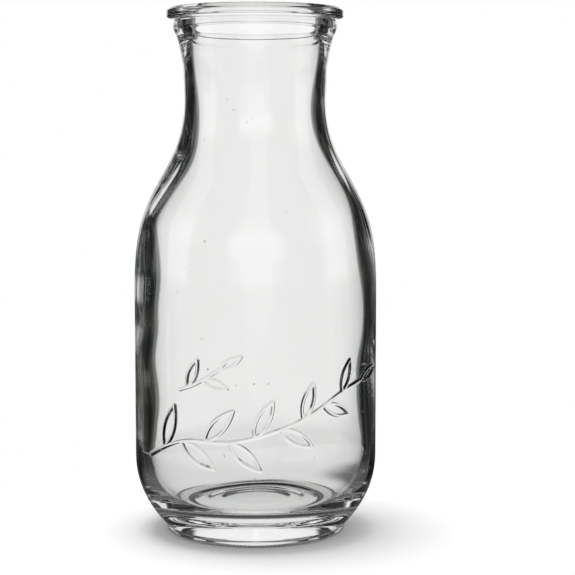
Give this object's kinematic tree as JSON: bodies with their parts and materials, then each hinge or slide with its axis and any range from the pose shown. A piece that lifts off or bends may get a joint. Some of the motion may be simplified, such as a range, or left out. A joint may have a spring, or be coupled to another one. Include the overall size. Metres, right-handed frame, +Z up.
{
  "type": "glass milk bottle",
  "caption": "Clear thick-walled glass milk bottle with a flanged lip, round shoulders and a raised leafy sprig on the front.",
  "frame": {"origin": "centre of the bearing ring that the bottle stands on", "axes": "+Z up along the bottle's axis, -Y towards the front, where the raised sprig is"},
  "size_m": [0.0996, 0.1002, 0.2146],
  "materials": {
    "clear_glass": "gloss, clear with a faint grey-green tint"
  },
  "bodies": {
    "root": {"glass_bottle": "clear_glass"}
  },
  "joints": []
}
